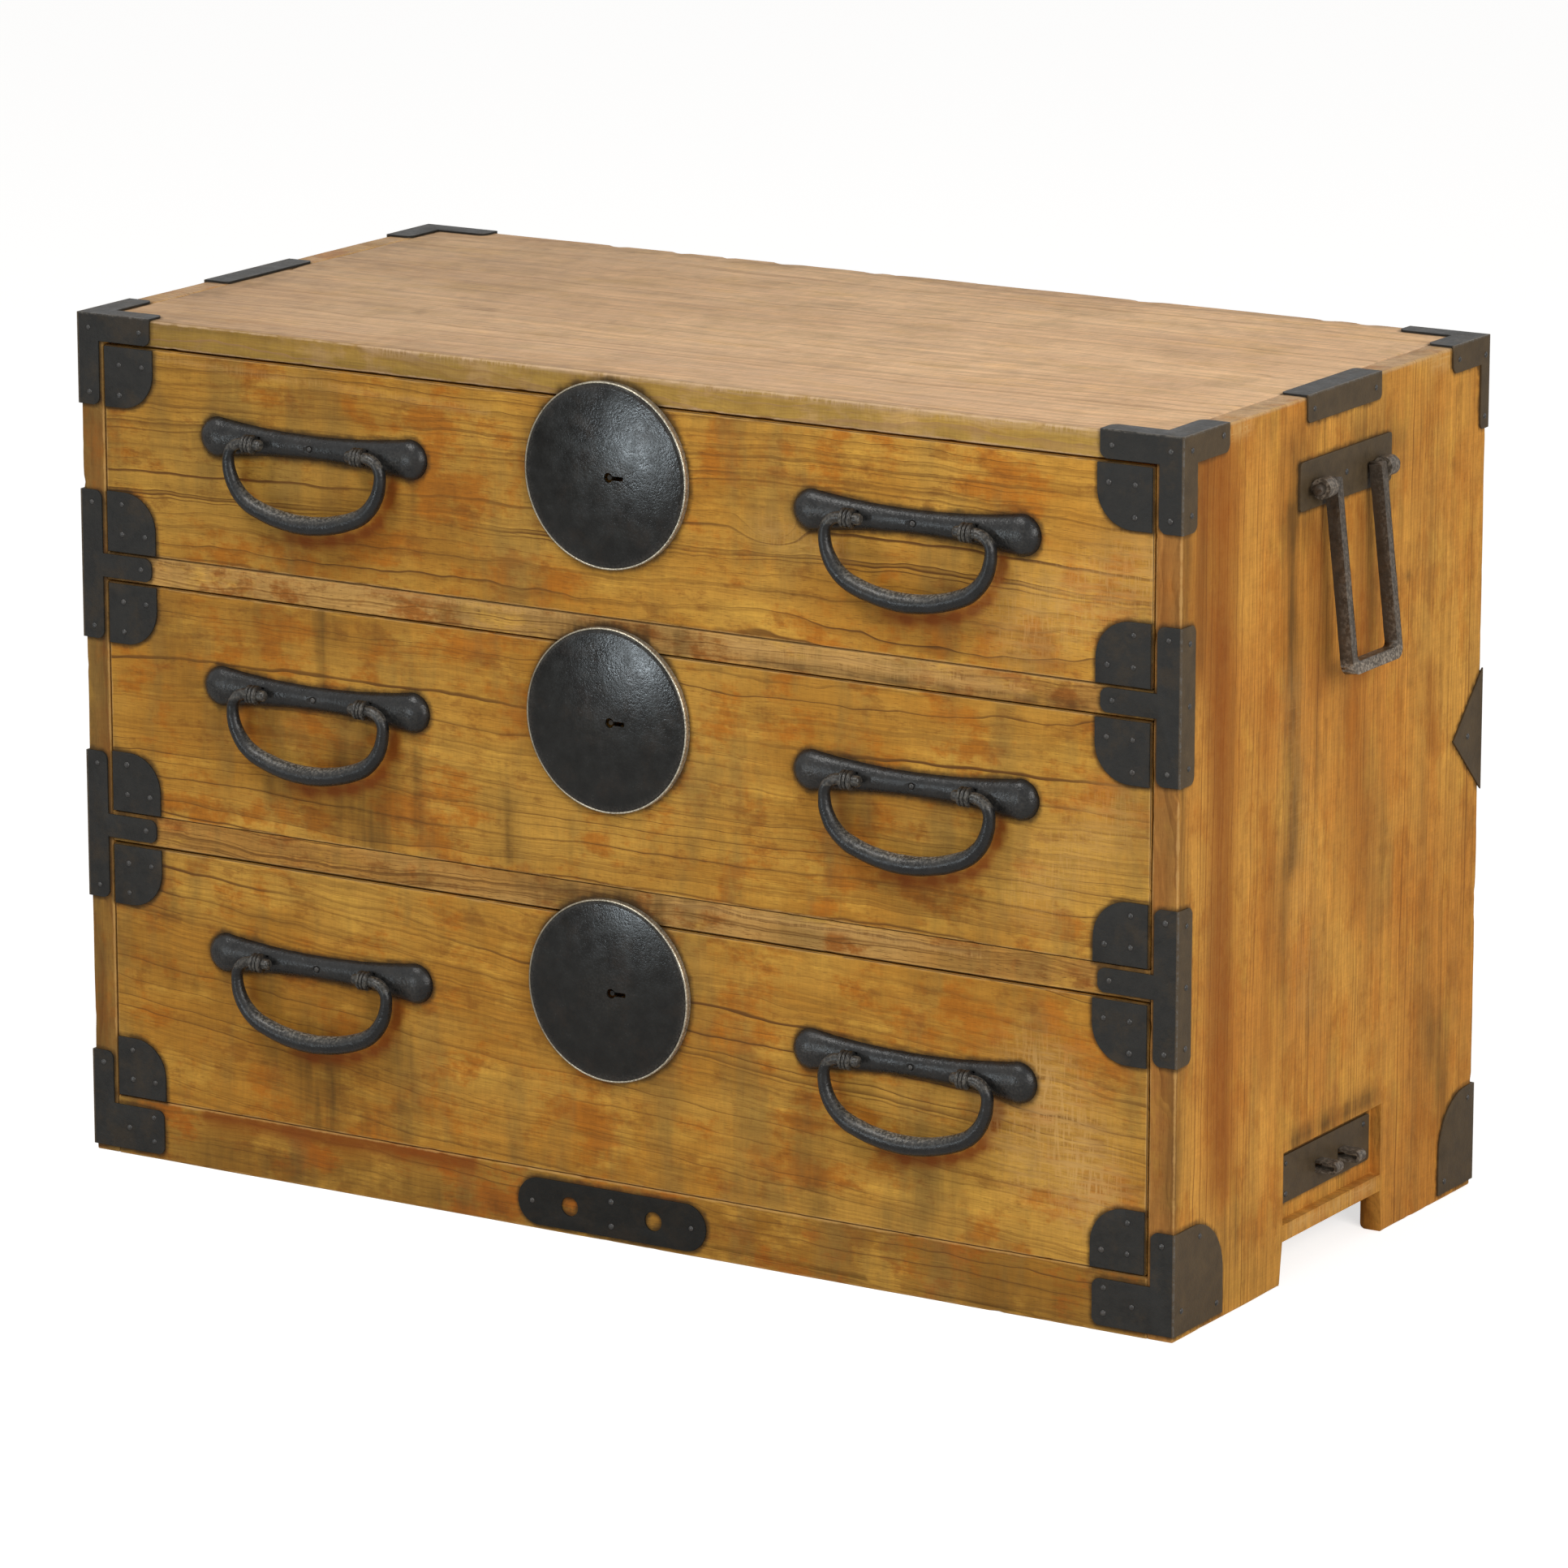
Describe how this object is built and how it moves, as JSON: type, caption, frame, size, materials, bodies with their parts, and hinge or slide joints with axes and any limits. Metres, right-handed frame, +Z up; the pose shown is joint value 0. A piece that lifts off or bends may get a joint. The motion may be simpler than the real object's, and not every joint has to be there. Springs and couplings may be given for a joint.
{
  "type": "ship chest",
  "caption": "Low wooden ship chest with lockable full-width drawers, round lock plates, drop bails, sheet-iron corner fittings and a long carrying bail at each end.",
  "frame": {"origin": "on the floor under the middle of the whole chest, fittings included", "axes": "+X to the right along the drawer fronts seen from the front, +Y from the drawer fronts towards the back, +Z up"},
  "size_m": [0.9594, 0.4679, 0.6235],
  "materials": {
    "front_wood": "oiled, worn",
    "side_wood": "oiled, worn",
    "top_wood": "bare, worn",
    "inner_wood": "bare",
    "fitting_iron": "dark patina",
    "bail_iron": "forged, dark patina",
    "nail_iron": "worn",
    "lock_iron": "blackened, smooth",
    "ring_steel": "worn bright rim"
  },
  "bodies": {
    "case": {"side_panel_left": "side_wood", "side_panel_right": "side_wood", "top_panel": "top_wood", "shelf_boards": "inner_wood", "back_panel": "inner_wood", "base_rail": "front_wood", "drawer_rails": "front_wood", "top_corner_irons": "fitting_iron", "rail_irons": "fitting_iron", "base_corner_irons": "fitting_iron", "rear_irons": "fitting_iron", "top_edge_irons": "fitting_iron", "base_centre_iron": "fitting_iron", "side_eye_plates": "fitting_iron", "side_eyes": "bail_iron", "case_nails": "nail_iron"},
    "top_drawer": {"top_drawer_front": "front_wood", "top_drawer_sides": "inner_wood", "top_drawer_back": "inner_wood", "top_drawer_bottom": "inner_wood", "top_drawer_corner_irons": "fitting_iron", "top_drawer_lock_plate": "lock_iron", "top_drawer_lock_ring": "ring_steel", "top_drawer_lock_case": "fitting_iron", "top_drawer_handle_plates": "bail_iron", "top_drawer_handle_eyes": "bail_iron", "top_drawer_nails": "nail_iron"},
    "top_drawer_bolt": {"top_drawer_lock_bolt": "fitting_iron"},
    "top_drawer_left_bail": {"top_drawer_bail_left": "bail_iron"},
    "top_drawer_right_bail": {"top_drawer_bail_right": "bail_iron"},
    "mid_drawer": {"mid_drawer_front": "front_wood", "mid_drawer_sides": "inner_wood", "mid_drawer_back": "inner_wood", "mid_drawer_bottom": "inner_wood", "mid_drawer_corner_irons": "fitting_iron", "mid_drawer_lock_plate": "lock_iron", "mid_drawer_lock_ring": "ring_steel", "mid_drawer_lock_case": "fitting_iron", "mid_drawer_handle_plates": "bail_iron", "mid_drawer_handle_eyes": "bail_iron", "mid_drawer_nails": "nail_iron"},
    "mid_drawer_bolt": {"mid_drawer_lock_bolt": "fitting_iron"},
    "mid_drawer_left_bail": {"mid_drawer_bail_left": "bail_iron"},
    "mid_drawer_right_bail": {"mid_drawer_bail_right": "bail_iron"},
    "low_drawer": {"low_drawer_front": "front_wood", "low_drawer_sides": "inner_wood", "low_drawer_back": "inner_wood", "low_drawer_bottom": "inner_wood", "low_drawer_corner_irons": "fitting_iron", "low_drawer_lock_plate": "lock_iron", "low_drawer_lock_ring": "ring_steel", "low_drawer_lock_case": "fitting_iron", "low_drawer_handle_plates": "bail_iron", "low_drawer_handle_eyes": "bail_iron", "low_drawer_nails": "nail_iron"},
    "low_drawer_bolt": {"low_drawer_lock_bolt": "fitting_iron"},
    "low_drawer_left_bail": {"low_drawer_bail_left": "bail_iron"},
    "low_drawer_right_bail": {"low_drawer_bail_right": "bail_iron"},
    "left_carry_bail": {"carry_bail_left": "bail_iron"},
    "right_carry_bail": {"carry_bail_right": "bail_iron"}
  },
  "joints": [
    {"name": "top_drawer_slide", "type": "slide", "parent": "case", "child": "top_drawer", "axis": [0, -1, 0], "range_m": [0, 0.34]},
    {"name": "top_drawer_bolt_lift", "type": "slide", "parent": "top_drawer", "child": "top_drawer_bolt", "axis": [0, 0, 1], "range_m": [0, 0.008]},
    {"name": "top_drawer_left_bail_swing", "type": "hinge", "parent": "top_drawer", "child": "top_drawer_left_bail", "pos_m": [-0.247, -0.2261, 0.5445], "axis": [-1, 0, 0], "range_deg": [-4, 180]},
    {"name": "top_drawer_right_bail_swing", "type": "hinge", "parent": "top_drawer", "child": "top_drawer_right_bail", "pos_m": [0.247, -0.2261, 0.5445], "axis": [-1, 0, 0], "range_deg": [-4, 180]},
    {"name": "mid_drawer_slide", "type": "slide", "parent": "case", "child": "mid_drawer", "axis": [0, -1, 0], "range_m": [0, 0.34]},
    {"name": "mid_drawer_bolt_lift", "type": "slide", "parent": "mid_drawer", "child": "mid_drawer_bolt", "axis": [0, 0, 1], "range_m": [0, 0.008]},
    {"name": "mid_drawer_left_bail_swing", "type": "hinge", "parent": "mid_drawer", "child": "mid_drawer_left_bail", "pos_m": [-0.247, -0.2261, 0.363], "axis": [-1, 0, 0], "range_deg": [-4, 180]},
    {"name": "mid_drawer_right_bail_swing", "type": "hinge", "parent": "mid_drawer", "child": "mid_drawer_right_bail", "pos_m": [0.247, -0.2261, 0.363], "axis": [-1, 0, 0], "range_deg": [-4, 180]},
    {"name": "low_drawer_slide", "type": "slide", "parent": "case", "child": "low_drawer", "axis": [0, -1, 0], "range_m": [0, 0.34]},
    {"name": "low_drawer_bolt_lift", "type": "slide", "parent": "low_drawer", "child": "low_drawer_bolt", "axis": [0, 0, 1], "range_m": [0, 0.008]},
    {"name": "low_drawer_left_bail_swing", "type": "hinge", "parent": "low_drawer", "child": "low_drawer_left_bail", "pos_m": [-0.247, -0.2261, 0.1655], "axis": [-1, 0, 0], "range_deg": [-4, 180]},
    {"name": "low_drawer_right_bail_swing", "type": "hinge", "parent": "low_drawer", "child": "low_drawer_right_bail", "pos_m": [0.247, -0.2261, 0.1655], "axis": [-1, 0, 0], "range_deg": [-4, 180]},
    {"name": "left_carry_bail_swing", "type": "hinge", "parent": "case", "child": "left_carry_bail", "pos_m": [-0.4593, 0.0164, 0.559], "axis": [0, 1, 0], "range_deg": [0, 174]},
    {"name": "right_carry_bail_swing", "type": "hinge", "parent": "case", "child": "right_carry_bail", "pos_m": [0.4593, 0.0164, 0.559], "axis": [0, -1, 0], "range_deg": [0, 174]}
  ]
}
